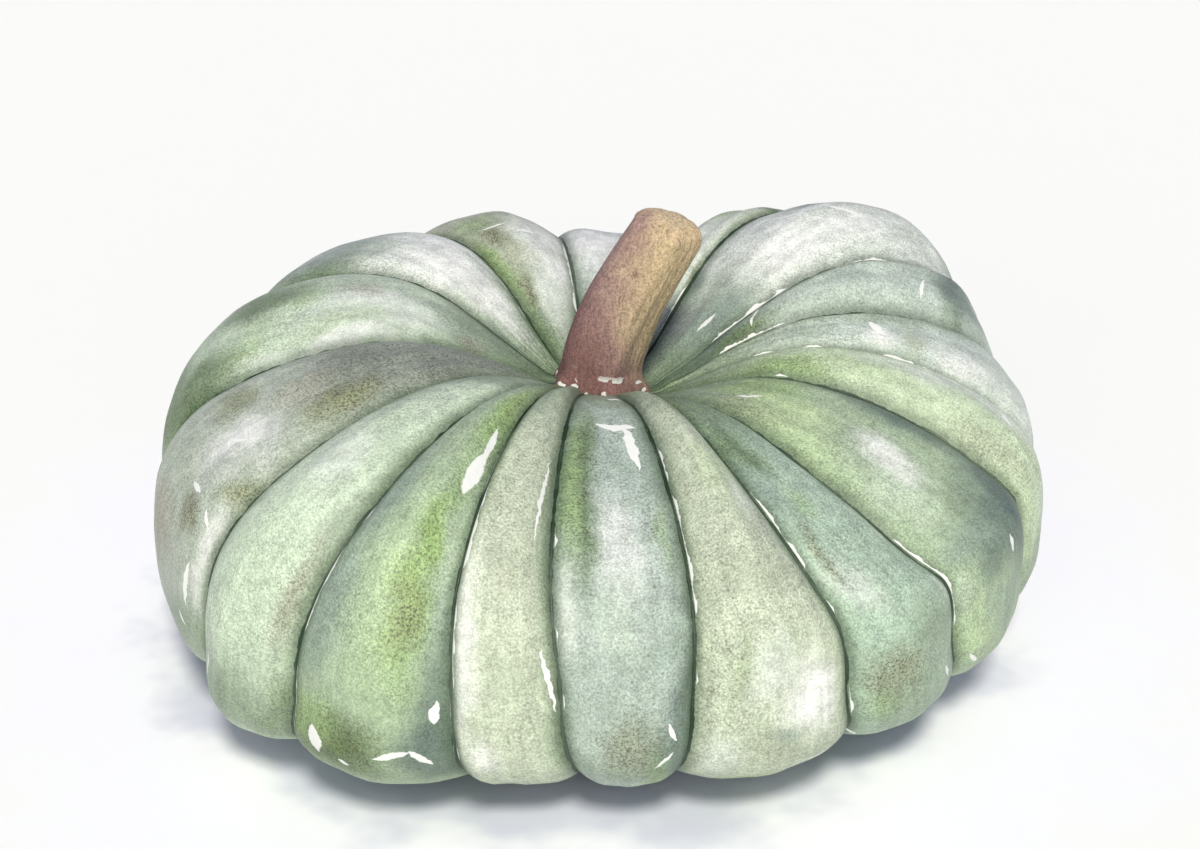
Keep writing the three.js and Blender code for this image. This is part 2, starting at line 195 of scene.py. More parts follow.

# Pale lines beside the first groove of a rib, painted highlights drawn as bloom rubbed off: its
# number, from where to where along it, and the line's breadth. The gap is to the groove's middle. Both
# are in millimetres.
RUBBED_HIGHLIGHT_LINES = [
    (15, 0.3, 0.375, 1.5), (15, 0.39, 0.47, 1.4), (15, 0.49, 0.57, 1.0),
    (16, 0.31, 0.4, 1.2), (16, 0.42, 0.5, 0.9), (16, 0.55, 0.58, 0.9),
    (0, 0.33, 0.36, 0.9), (0, 0.43, 0.47, 0.9), (0, 0.49, 0.52, 0.8),
    (1, 0.235, 0.29, 0.9), (1, 0.3, 0.425, 1.2), (1, 0.48, 0.5, 0.8),
    (2, 0.3, 0.4, 1.0), (2, 0.42, 0.45, 0.8), (2, 0.52, 0.56, 0.8),
    (3, 0.38, 0.52, 1.0), (4, 0.18, 0.2, 0.8), (5, 0.15, 0.23, 1.0),
    (5, 0.28, 0.34, 1.1), (6, 0.12, 0.2, 1.0), (7, 0.12, 0.2, 1.3),
    (7, 0.26, 0.31, 0.9), (12, 0.24, 0.39, 2.0), (12, 0.15, 0.2, 0.9),
    (14, 0.27, 0.3, 1.1), (14, 0.36, 0.4, 1.3), (14, 0.45, 0.5, 0.8),
    (13, 0.22, 0.26, 0.8), (11, 0.12, 0.2, 1.1), (10, 0.1, 0.28, 1.1),
    (9, 0.4, 0.5, 1.0), (8, 0.1, 0.17, 1.0), (12, 0.55, 0.62, 0.9),
]
RUBBED_GAP = 0.7

# Pigments of the rind and the stem, as display colours from 0 to 1.
PIGMENTS = {
    "white": (0.95, 0.96, 0.92), "pale": (0.86, 0.89, 0.83), "mint": (0.79, 0.86, 0.74),
    "cream": (0.76, 0.80, 0.69), "lime": (0.75, 0.84, 0.63), "sea": (0.68, 0.74, 0.68),
    "aqua": (0.68, 0.77, 0.67), "moss": (0.66, 0.74, 0.60), "stone": (0.71, 0.75, 0.67),
    "silver": (0.75, 0.80, 0.74), "spring": (0.78, 0.85, 0.70), "khaki": (0.69, 0.72, 0.61),
    "sage": (0.55, 0.62, 0.51), "teal": (0.54, 0.61, 0.56), "slate": (0.38, 0.45, 0.41),
    "forest": (0.40, 0.50, 0.32), "bog": (0.32, 0.41, 0.20), "leaf": (0.59, 0.71, 0.43),
    "olive": (0.57, 0.60, 0.41), "taupe": (0.69, 0.68, 0.59),
    "ash": (0.54, 0.57, 0.50), "russet": (0.55, 0.57, 0.44), "crease_shade": (0.14, 0.23, 0.15),
    "speck": (0.26, 0.20, 0.17), "scar": (0.60, 0.51, 0.38), "straw": (0.82, 0.81, 0.66),
    "mauve": (0.53, 0.39, 0.36), "rose": (0.64, 0.52, 0.48), "tan": (0.82, 0.75, 0.62),
    "ochre": (0.80, 0.71, 0.55), "pith": (0.84, 0.77, 0.61), "bark_dark": (0.38, 0.26, 0.23),
}

# How much brown speckling comes with each pigment.
SPECKLING = {
    "white": 0.0, "pale": 0.05, "leaf": 0.65, "ash": 0.65, "taupe": 0.75, "forest": 0.75, "olive": 0.9,
    "russet": 1.0, "bog": 0.85,
}

# The stem: its centreline above the middle of its foot, and its radii, in millimetres.
STEM_LINE = [(0, 0, 0), (1, 0, 12), (7, 1, 28), (15, 2, 43), (21, 3, 53), (23, 3, 59)]
STEM = {"foot": 15, "shaft": 13.2, "end": 11.3, "foot_height": 9, "rounded_end": 6}
STEM_RIDGES = {"count": 5, "height": 0.05, "turn": 0.6}
STEM_TOES = {"height": 1.6, "reach": 6}
STEM_SINK = 0.02

# How finely the surfaces are divided.
COLUMNS_PER_DEGREE = 1.35
COLUMN_CROWDING = 0.72
BODY_ROWS = 172
PROFILE_STEPS = 4000
STEM_SIDES = 180
STEM_ROWS = 150
STEM_END_ROWS = 28
STEM_CURVE_STEPS = 60

# The picture: its size, where the middle of the body stands in it, and the camera's place.
IMAGE_SIZE = (1200, 849)
BODY_MIDDLE_PIXEL = (596, 481)
CAMERA_ELEVATION = 28
CAMERA_DISTANCE = 0.7875
PIXELS_PER_MM = 2.98
SENSOR_WIDTH = 36
SEEN_DISTANCES = (0.01, 50)

# The sheet that it stands on, in metres, with a painted violet shadow round the foot.
FLOOR_REACH = 6.0
FLOOR_SHADOW_WASH = {"x": -0.008, "waver": 0.012, "foot": (0.124, 0.156), "fading": (0.158, 0.24)}
FLOOR_AND_SHADOW_COLOURS = {"foot": (0.66, 0.68, 0.77), "near": (0.95, 0.96, 0.97), "far": (0.95, 0.98, 0.89)}

# Far lamps: elevation and azimuth from the front in degrees, spread, strength and colour.
LAMPS = {
    "high": (52, 4, 12, 0.88, (1.0, 0.975, 0.86)),
    "low": (16, -8, 70, 0.24, (1.0, 0.985, 0.92)),
}
SKY = {"colour": (0.70, 0.67, 1.15, 1.0), "strength": 0.36}
BACKGROUND = (0.985, 0.985, 0.98, 1.0)

# Large numbers that scatter the cells of the noise.
SCATTER = (374761393, 668265263, 2246822519)
SEED_SCATTER = 3266489917
LAST_SCATTER = 1274126177


def smooth(value):
    held = np.clip(value, 0, 1)
    return held * held * (3 - 2 * held)


def mix(start, end, share):
    return start + (end - start) * share


def hill(distance, spread):
    return np.exp(-((distance / spread) ** 2))


def pigment(name):
    """A pigment as linear light."""
    shown = np.array(PIGMENTS[name])
    return np.where(shown <= 0.04045, shown / 12.92, ((shown + 0.055) / 1.055) ** 2.4)


def lattice(cells, seed):
    """A fixed value from -1 to 1 for each cell of a grid in space."""
    mixed = sum(cells[..., axis] * SCATTER[axis] for axis in range(3))
    mixed = (mixed + seed * SEED_SCATTER) & 0xFFFFFFFF
    mixed = ((mixed ^ (mixed >> 13)) * LAST_SCATTER) & 0xFFFFFFFF
    return ((mixed ^ (mixed >> 16)) & 0xFFFF) / 32767.5 - 1


def cloud(points, size, seed, octaves=3):
    """Smooth noise from about -1 to 1 with lumps of that size, at points in millimetres."""
    total = np.zeros(points.shape[:-1])
    weight, reach = 1.0, 0.0
    for octave in range(octaves):
        scaled = points / size * 2**octave + 1000
        cell = np.floor(scaled).astype(np.int64)
        part = scaled - cell
        part = part * part * (3 - 2 * part)
        value = 0
        for corner in range(8):
            offset = np.array([corner & 1, corner >> 1 & 1, corner >> 2 & 1])
            share = np.prod(np.where(offset, part, 1 - part), axis=-1)
            value = value + share * lattice(cell + offset, seed + octave)
        total += value * weight
        reach += weight
        weight *= 0.5
    return total / reach


def plain_form(polar):
    """The body's plain form: radius, height and how far up it is, at angles down from the stem."""
    across, up = np.sin(polar), np.cos(polar)
    above = up > 0
    crown = CROWN["reach"] * np.abs(up) ** (2 / CROWN["upright"])
    base = BASE["reach"] * np.abs(up) ** (2 / BASE["upright"])
    sideways = np.where(above, 2 / CROWN["sideways"], 2 / BASE["sideways"])
    radius = HALF_WIDTH * np.abs(across) ** sideways
    sunk = CAVITY["depth"] * hill(radius, CAVITY["spread"])
    hollow = BLOSSOM_HOLLOW["depth"] * hill(radius, BLOSSOM_HOLLOW["spread"])
    return radius, np.where(above, crown - sunk, hollow - base), up


def plain_run():
    """The plain form in fine steps from stem to blossom end, and how far along the rind they are."""
    radius, height, up = plain_form(np.linspace(0, math.pi, PROFILE_STEPS))
    steps = np.hypot(np.diff(radius), np.diff(height))
    return radius, height, up, np.concatenate([[0], np.cumsum(steps)])


def body_stations():
    """Rows at equal distances from stem to blossom end, each with the direction that it faces."""
    radius, height, up, run = plain_run()
    along = (np.arange(BODY_ROWS) + 0.5) / BODY_ROWS
    placed = [np.interp(along * run[-1], run, values) for values in (radius, height, up)]
    slope_out, slope_up = np.gradient(radius, run), np.gradient(height, run)
    face_out = -np.interp(along * run[-1], run, slope_up)
    face_up = np.interp(along * run[-1], run, slope_out)
    return along, *placed, face_out, face_up


def rib_values(name):
    return np.array([rib[name] for rib in RIBS], float)


def body_columns():
    """The rib that each column is on and how far across it, from 0 to 1. Columns crowd at grooves."""
    ribs, shares = [], []
    for number, rib in enumerate(RIBS):
        count = round(rib["width"] * COLUMNS_PER_DEGREE)
        even = np.arange(count) / count
        shares.append(even - COLUMN_CROWDING * np.sin(2 * math.pi * even) / (2 * math.pi))
        ribs.append(np.full(count, number))
    return np.concatenate(ribs), np.concatenate(shares)


def seat_height(x, y):
    return SEAT["height"] - SEAT["fall_right"] * (x - SEAT["x"]) - SEAT["fall_back"] * y


def unevenness(points, along, across, radius, azimuth):
    """How far the living rind stands off its plain form, in millimetres."""
    lumps = sum(height * cloud(points, size, seed) for height, size, seed in LUMPS)
    wave = VEINS["waves"] * math.pi * across + VEINS["wander"] * cloud(points, 60, 41)
    veins = VEINS["height"] * np.cos(wave) * (1 - across**2)
    wave = WRINKLES["waves"] * azimuth + WRINKLES["wander"] * cloud(points, 30, 43)
    near_stem = hill(radius - WRINKLES["radius"], WRINKLES["spread"]) * (along < 0.5)
    wrinkles = WRINKLES["height"] * np.cos(wave) * near_stem
    return (lumps + veins) * smooth((radius - 16) / 30) + wrinkles


def fruit_surface():
    """Points of the rind in millimetres, with the values that its colours need."""
    along, radius, height, up, face_out, face_up = (v[:, None] for v in body_stations())
    ribs, shares = body_columns()
    before, after = (ribs - 1) % len(RIBS), (ribs + 1) % len(RIBS)
    width, sweep = rib_values("width"), rib_values("sweep")
    starts = FIRST_GROOVE + np.concatenate([[0], np.cumsum(width)[:-1]])
    start_azimuth = starts[ribs] + sweep[ribs] * up
    end_azimuth = starts[ribs] + width[ribs] + sweep[after] * up
    azimuth = np.radians(mix(start_azimuth, end_azimuth, shares))

    from_crest = np.abs(2 * shares - 1)
    crest = (1 - from_crest ** RIB_ROUNDNESS["across"]) ** RIB_ROUNDNESS["edge"]
    depths = []
    for other in (before, after):
        angle = np.radians((width[ribs] + width[other]) / 2)
        depths.append(GROOVE["depth"] * np.tanh(GROOVE["slope"] * radius * angle / GROOVE["depth"]))
    sunk = mix(*depths, shares) * (1 - crest)

    own = 1 - smooth(from_crest)
    neighbour = np.where(shares < 0.5, before, after)
    eased = {}
    for name in ("reach", "lift"):
        values = rib_values(name)
        eased[name] = mix((values[ribs] + values[neighbour]) / 2, values[ribs], own)
    outer = smooth(radius / FULL_REACH_RADIUS)
    upper = outer * smooth(np.maximum(0, up) / FULL_LIFT_HEIGHT)

    far = radius + eased["reach"] * outer - sunk * face_out
    high = height + eased["lift"] * upper - sunk * face_up
    x, y = far * np.cos(azimuth), far * np.sin(azimuth)
    off_centre = np.hypot(x - CAVITY["x"], y - CAVITY["y"])
    shifted = CAVITY["depth"] * (hill(far, CAVITY["spread"]) - hill(off_centre, CAVITY["spread"]))
    high = high + np.where(up > 0, shifted, 0)

    across = np.broadcast_to(2 * shares - 1, x.shape)
    along = np.broadcast_to(along, x.shape)
    points = np.stack([x, y, high], -1)
    off = unevenness(points, along, across, far, azimuth)
    x, y = x + off * face_out * np.cos(azimuth), y + off * face_out * np.sin(azimuth)
    high = high + off * face_up

    # The seat under the stem, the corky button of the blossom end, and the flat spots on the floor.
    beside = np.hypot(x - SEAT["x"], y)
    clear = smooth((beside - SEAT["radius"]) / SEAT["blend"])
    high = np.where(up > 0, mix(seat_height(x, y), high, clear), high)
    rim = BUTTON["rim"] * hill(far - BUTTON["rim_radius"], BUTTON["rim_spread"])
    button = rim - BUTTON["middle"] * hill(far, BUTTON["middle_spread"])
    high = np.where(up < 0, high - button, high)
    high = np.maximum(high, -FLOOR_DROP)

    half_breadth = np.maximum(far, 1) * np.radians(width[ribs]) / 2
    groove = (1 - from_crest) * half_breadth
    points = np.stack([x, y, high], -1)
    return points, along, across, np.broadcast_to(ribs, x.shape), groove, far


def glaze(colour, pigment_name, weight):
    return mix(colour, pigment(pigment_name), np.clip(weight, 0, 1)[..., None])


def seeded_marks(number):
    """Soft patches for the side of a rib that turns away, in the order of the marks of RIBS."""
    random = np.random.default_rng(500 + number)
    return [
        (HIDDEN_PIGMENTS[random.integers(len(HIDDEN_PIGMENTS))],
         random.uniform(0.5, 0.95), random.uniform(-0.9, 0.9),
         random.uniform(0.03, 0.09), random.uniform(0.25, 0.8), random.uniform(0.5, 0.95))
        for _ in range(HIDDEN_MARKS)
    ]


def rind_colours(points, along, across, ribs, groove, far):
    """The rind's washes of colour, with painted highlights and painted shade, and how speckled each
    place is as the fourth value.
    """
    run = along + 0.014 * cloud(points, 26, 51) + 0.009 * cloud(points, 9, 53)
    side = across + 0.26 * cloud(points, 24, 57) + 0.16 * cloud(points, 8, 59)
    patchy = 0.9 + 0.3 * cloud(points, 15, 61)
    colour = np.zeros(points.shape)
    speckle = 0.25 + 0.3 * cloud(points, 34, 67)
    # Painted shade: each rib darkens towards sage near the stem, in the stem's cavity.
    stem_end_shade = 0.85 * smooth((0.2 - run) / 0.07)
    for number, rib in enumerate(RIBS):
        here = ribs == number
        wash = np.broadcast_to(pigment(rib["ground"]), (here.sum(), 3))
        wash = glaze(wash, "sage", stem_end_shade[here])
        spots = speckle[here]
        hidden_from = HIDDEN_FROM["back" if number in BACK_RIBS else "front"]
        drawn = [mark for mark in seeded_marks(number) if mark[1] > hidden_from]
        for name, mark_along, mark_across, length, breadth, strength in rib["marks"] + drawn:
            away = np.hypot((run[here] - mark_along) / length, (side[here] - mark_across) / breadth)
            weight = strength * smooth(1.25 - away) * patchy[here]
            wash = glaze(wash, name, weight)
            spots = mix(spots, SPECKLING.get(name, 0.2), np.clip(weight, 0, 1))
        colour[here] = wash
        speckle[here] = spots

    # Painted shade: deep green near the stem, in its cavity and round its foot, and beside the
    # grooves.
    # Straw and a corky scar towards the blossom end.
    colour = glaze(colour, "forest", 0.4 * smooth((0.12 - run) / 0.05))
    # Painted shade beside the grooves, stronger in places.
    groove_side_shade = smooth((6.5 - groove) / 6.5) * (0.85 + 0.6 * cloud(points, 20, 69))
    colour = glaze(colour, "forest", 0.34 * groove_side_shade)
    underneath = smooth((along - 0.72) / 0.14)
    colour = glaze(colour, "straw", 0.55 * underneath * (0.8 + 0.4 * cloud(points, 30, 71)))
    colour = glaze(colour, "sage", 0.5 * smooth((along - 0.9) / 0.06))
    colour = glaze(colour, "scar", (along > 0.5) * smooth((15 + 2 * cloud(points, 5, 73) - far) / 4))
    # Painted shade in the stem's cavity, in a ring round its foot.
    stem_collar_shade = (along < 0.5) * smooth((22 + 3 * cloud(points, 9, 79) - far) / 5)
    colour = glaze(colour, "forest", 0.55 * stem_collar_shade)
    return np.concatenate([colour, np.clip(speckle, 0, 1)[..., None]], -1)


def rubbed_highlight_breadths(along, across, ribs):
    """How broad the pale line beside a groove, a painted highlight, is at each place, in millimetres.
    """
    breadths = np.zeros(along.shape)
    for number, start, end, breadth in RUBBED_HIGHLIGHT_LINES:
        inside = smooth((along - start) / 0.012) * smooth((end - along) / 0.012)
        first_half = (ribs == number) & (across < 0)
        breadths = np.maximum(breadths, breadth * inside * first_half)
    return breadths


def scuff_highlight_places():
    """Each painted highlight scuff's centre in rib space, its half sizes and its turn, in metres and
    radians.
    """
    radius, _, _, run = plain_run()
    for number, along, across, length, breadth, turn in SCUFF_HIGHLIGHTS:
        half_rib = np.interp(along * run[-1], run, radius) * math.radians(RIBS[number]["width"]) / 2
        centre = (across * half_rib * MM, along * run[-1] * MM, number)
        yield centre, (breadth / 2 * MM, length / 2 * MM, 0.5), math.radians(turn)


def ring_faces(rings, sides):
    """Quads between rings, and fans to a first and a last pole."""
    ring, side = np.meshgrid(np.arange(rings - 1), np.arange(sides), indexing="ij")
    upper, lower = ring * sides, (ring + 1) * sides
    beside = (side + 1) % sides
    quads = np.stack([upper + side, lower + side, lower + beside, upper + beside], -1)
    faces = (quads.reshape(-1, 4) + 1).tolist()
    last_ring, last_pole = (rings - 1) * sides + 1, rings * sides + 1
    for side in range(sides):
        beside = (side + 1) % sides
        faces.append([0, 1 + side, 1 + beside])
        faces.append([last_ring + side, last_pole, last_ring + beside])
    return faces


def closed_mesh(name, grid, first_pole, last_pole, offset):
    """An object from a grid of points in rings, in millimetres, closed by a pole at each end."""
    rings, sides = grid.shape[:2]
    points = np.concatenate([[first_pole], grid.reshape(-1, 3), [last_pole]]) + offset
    mesh = bpy.data.meshes.new(name)
    mesh.from_pydata((points * MM).tolist(), [], ring_faces(rings, sides))
    mesh.polygons.foreach_set("use_smooth", [True] * len(mesh.polygons))
    mesh.update()
    piece = bpy.data.objects.new(name, mesh)
    bpy.context.scene.collection.objects.link(piece)
    return piece


def add_values(piece, name, grid, kind):
    """Stores a value for each point of the grid. The poles take the nearest ring's mean."""
    flat = grid.reshape(-1, 1) if kind == "FLOAT" else grid.reshape(-1, grid.shape[-1])
    first, last = grid[0].mean(axis=0), grid[-1].mean(axis=0)
    values = np.concatenate([np.atleast_2d(first), flat, np.atleast_2d(last)]).astype(np.float32)
    attribute = piece.data.attributes.new(name, kind, "POINT")
    field = {"FLOAT": "value", "FLOAT_COLOR": "color", "FLOAT_VECTOR": "vector"}[kind]
    attribute.data.foreach_set(field, values.ravel())


class Nodes:
    """A short way to write a material's nodes."""

    def __init__(self, name):
        self.material = bpy.data.materials.new(name)
        self.material.use_nodes = True
        self.tree = self.material.node_tree
        self.shader = self.tree.nodes["Principled BSDF"]

    def add(self, kind, **settings):
        node = self.tree.nodes.new("ShaderNode" + kind)
        for key, value in settings.items():
            setattr(node, key, value)
        return node

    def link(self, source, target):
        self.tree.links.new(source, target)

    def value(self, name):
        return self.add("Attribute", attribute_name=name).outputs["Fac"]

    def math(self, operation, *inputs):
        node = self.add("Math", operation=operation)
        for socket, given in zip(node.inputs, inputs):
            if isinstance(given, (int, float)):
                socket.default_value = given
            else:
                self.link(given, socket)
        return node.outputs[0]

    def vector(self, operation, *inputs, output=0):
        node = self.add("VectorMath", operation=operation)
        for socket, given in zip(node.inputs, inputs):
            if isinstance(given, tuple):
                socket.default_value = given
            else:
                self.link(given, socket)
        return node.outputs[output]

    def toned(self, colour, brightness):
        node = self.add("VectorMath", operation="SCALE")
        self.link(colour, node.inputs[0])
        self.link(brightness, node.inputs["Scale"])
        return node.outputs[0]

    def noise(self, scale, detail=3.0, roughness=0.55, stretch=None, where=None):
        where = where or self.add("TexCoord").outputs["Object"]
        if stretch:
            mapping = self.add("Mapping")
            mapping.inputs["Scale"].default_value = stretch
            self.link(where, mapping.inputs["Vector"])
            where = mapping.outputs[0]
        node = self.add("TexNoise")
        node.inputs["Scale"].default_value = scale
        node.inputs["Detail"].default_value = detail
        node.inputs["Roughness"].default_value = roughness
        self.link(where, node.inputs["Vector"])
        return node.outputs["Fac"]

    def noise_vector(self, scale, reach, where):
        """A position pushed about by noise, by up to about that reach."""
        node = self.add("TexNoise")
        node.inputs["Scale"].default_value = scale
        self.link(where, node.inputs["Vector"])
        to_middle = (-reach / 2, -reach / 2, 0)
        push = self.vector("MULTIPLY_ADD", node.outputs["Color"], (reach, reach, 0), to_middle)
        return self.vector("ADD", push, where)

    def ramp(self, source, low, high, low_value=0.0, high_value=1.0):
        node = self.add("MapRange", interpolation_type="SMOOTHSTEP")
        limits = {"From Min": low, "From Max": high, "To Min": low_value, "To Max": high_value}
        for name, given in limits.items():
            node.inputs[name].default_value = given
        self.link(source, node.inputs["Value"])
        return node.outputs[0]

    def spread(self, noise, low, high):
        """Noise, which mostly lies between 0.3 and 0.7, spread out from low to high."""
        return self.ramp(noise, 0.3, 0.7, low, high)

    def blend(self, share, base, over):
        """A mix of two colours. Sockets 6 and 7 are the node's pair for colours."""
        node = self.add("Mix", data_type="RGBA", clamp_factor=True)
        for index, given in ((0, share), (6, base), (7, over)):
            socket = node.inputs[index]
            if isinstance(given, (int, float)):
                socket.default_value = given
            elif isinstance(given, (tuple, list, np.ndarray)):
                socket.default_value = (*given, 1.0)
            else:
                self.link(given, socket)
        return node.outputs[2]

    def bump(self, height, distance, strength=1.0, under=None):
        node = self.add("Bump")
        node.inputs["Strength"].default_value = strength
        node.inputs["Distance"].default_value = distance
        self.link(height, node.inputs["Height"])
        if under is not None:
            self.link(under, node.inputs["Normal"])
        return node.outputs[0]


def scuff_highlight_mask(nodes, rib_space):
    """1 on the scuffs, painted highlights that are slivers with pointed ends and slightly ragged
    edges.
    """
    ragged = nodes.noise_vector(300, 0.002, rib_space)
    nearest = None
    for centre, half_sizes, turn in scuff_highlight_places():
        local = nodes.add("Mapping", vector_type="TEXTURE")
        local.inputs["Location"].default_value = centre
        local.inputs["Rotation"].default_value = (0, 0, turn)
        local.inputs["Scale"].default_value = half_sizes
        nodes.link(ragged, local.inputs["Vector"])
        outwards = nodes.vector("ABSOLUTE", local.outputs[0])
        rounding = nodes.vector("MULTIPLY_ADD", outwards, (0, 1, 0), (1, 0, 1))
        away = nodes.vector("DOT_PRODUCT", outwards, rounding, output="Value")
        nearest = away if nearest is None else nodes.math("MINIMUM", nearest, away)
    return nodes.ramp(nearest, 0.82, 1.06, 0.94, 0.0)


def rind_material():
    """Waxy rind: soft washes, granular mottling, brown specks, dark creases with painted shade beside
    them, and pale scuffs and lines that are painted highlights.
    """
    nodes = Nodes("rind")
    wash = nodes.add("Attribute", attribute_name="wash")
    rib_space = nodes.add("Attribute", attribute_name="rib_space").outputs["Vector"]
    mottle = nodes.noise(210, 5, 0.7)
    grain = nodes.noise(1400, 3, 0.75)
    streaks = nodes.noise(1, 4, 0.6, (330, 26, 7), rib_space)
    grainy = nodes.ramp(wash.outputs["Alpha"], 0.0, 0.35, 0.55, 1.0)
    granulation = nodes.math("MULTIPLY", nodes.spread(grain, -0.4, 0.35), grainy)
    lighter = nodes.math("ADD", nodes.spread(mottle, -0.15, 0.13), granulation)
    lighter = nodes.math("ADD", lighter, nodes.spread(streaks, -0.1, 0.09))
    colour = nodes.toned(wash.outputs["Color"], nodes.math("ADD", lighter, 1.0))
    warmth = nodes.ramp(nodes.noise(95, 4, 0.6), 0.35, 0.7, 0.0, 0.18)
    colour = nodes.blend(warmth, colour, pigment("sage"))

    sparse = nodes.math("MULTIPLY", wash.outputs["Alpha"], 0.07)
    spots = nodes.ramp(nodes.math("ADD", nodes.noise(1250, 2, 0.7), sparse), 0.575, 0.635)
    speckled = nodes.math("MULTIPLY", spots, nodes.math("MULTIPLY", wash.outputs["Alpha"], 0.85))
    colour = nodes.blend(speckled, colour, pigment("speck"))

    # Painted shade in the grooves: a thin dark line along each crease and a soft darkening beside it.
    groove = nodes.value("groove")
    uneven = nodes.math("ADD", groove, nodes.spread(nodes.noise(160, 3), -0.22, 0.22))
    strength = nodes.ramp(nodes.noise(38, 2), 0.35, 0.65, 0.8, 1.0)
    line = nodes.math("MULTIPLY", nodes.ramp(uneven, 0.4, 0.8, 1.0, 0.0), strength)
    near = nodes.ramp(uneven, 0.5, 3.6, 0.45, 0.0)
    colour = nodes.blend(nodes.math("MAXIMUM", near, line), colour, pigment("crease_shade"))

    # Pale lines beside grooves, painted highlights drawn as rubbed bloom, with a ragged breadth.
    half_breadth = nodes.ramp(nodes.noise(120, 3), 0.36, 0.66, 0.1, 0.6)
    rubbed = nodes.math("MULTIPLY", nodes.value("rubbed"), half_breadth)
    off_line = nodes.math("SUBTRACT", nodes.math("SUBTRACT", groove, rubbed), RUBBED_GAP)
    inside = nodes.math("SUBTRACT", rubbed, nodes.math("ABSOLUTE", off_line))
    rubbed_highlight = nodes.ramp(inside, 0.02, 0.16, 0.0, 0.95)
    # Painted highlights: the scuffs and the pale lines beside grooves are blended to white, and a
    # little rougher.
    pale = nodes.math("MAXIMUM", scuff_highlight_mask(nodes, rib_space), rubbed_highlight)
    colour = nodes.blend(pale, colour, pigment("white"))
    nodes.link(colour, nodes.shader.inputs["Base Color"])

    rough = nodes.spread(mottle, 0.42, 0.58)
    rough = nodes.math("ADD", rough, nodes.math("MULTIPLY", pale, 0.15))
    nodes.link(rough, nodes.shader.inputs["Roughness"])
    pores = nodes.bump(grain, 0.00012, 0.5)
    skin = nodes.bump(nodes.noise(330, 4), 0.0004, 0.5, pores)
    nodes.link(skin, nodes.shader.inputs["Normal"])
    nodes.shader.inputs["Specular IOR Level"].default_value = 0.35
    nodes.shader.inputs["Coat Weight"].default_value = 0.05
    nodes.shader.inputs["Coat Roughness"].default_value = 0.4
    return nodes.material


def make_fruit():
    points, along, across, ribs, groove, far = fruit_surface()
    offset = np.array([STEM_AXIS["x"], STEM_AXIS["y"], FLOOR_DROP])
    top = [SEAT["x"], 0, SEAT["height"]]
    bottom = points[-1].mean(axis=0)
    fruit = closed_mesh("pumpkin_body", points, top, bottom, offset)
    beside = across * np.maximum(far, 1) * np.radians(rib_values("width")[ribs]) / 2
    run_length = plain_run()[-1][-1]
    rib_space = np.stack([beside * MM, along * run_length * MM, ribs], -1)
    add_values(fruit, "wash", rind_colours(points, along, across, ribs, groove, far), "FLOAT_COLOR")
    add_values(fruit, "rib_space", rib_space, "FLOAT_VECTOR")
    add_values(fruit, "groove", groove, "FLOAT")
    add_values(fruit, "rubbed", rubbed_highlight_breadths(along, across, ribs), "FLOAT")
    fruit.data.materials.append(rind_material())
    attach(fruit, "root")
    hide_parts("fruit")


def stem_line(share):
    """Points on a smooth curve through the stem's line, its directions and its length."""
    given = np.array(STEM_LINE, float)
    fine = []
    padded = np.concatenate([[2 * given[0] - given[1]], given, [2 * given[-1] - given[-2]]])
    for i in range(len(given) - 1):
        p0, p1, p2, p3 = padded[i:i + 4]
        t = np.linspace(0, 1, STEM_CURVE_STEPS, endpoint=False)[:, None]
        fine.append(0.5 * (2 * p1 + (p2 - p0) * t + (2 * p0 - 5 * p1 + 4 * p2 - p3) * t**2
                           + (3 * p1 - p0 - 3 * p2 + p3) * t**3))
    fine = np.concatenate([*fine, given[-1:]])
    run = np.concatenate([[0], np.cumsum(np.linalg.norm(np.diff(fine, axis=0), axis=1))])
    wanted = share * run[-1]
    place = np.stack([np.interp(wanted, run, values) for values in fine.T], -1)
    slope = np.stack([np.interp(wanted, run, np.gradient(values, run)) for values in fine.T], -1)
    return place, slope / np.linalg.norm(slope, axis=-1, keepdims=True), run[-1]


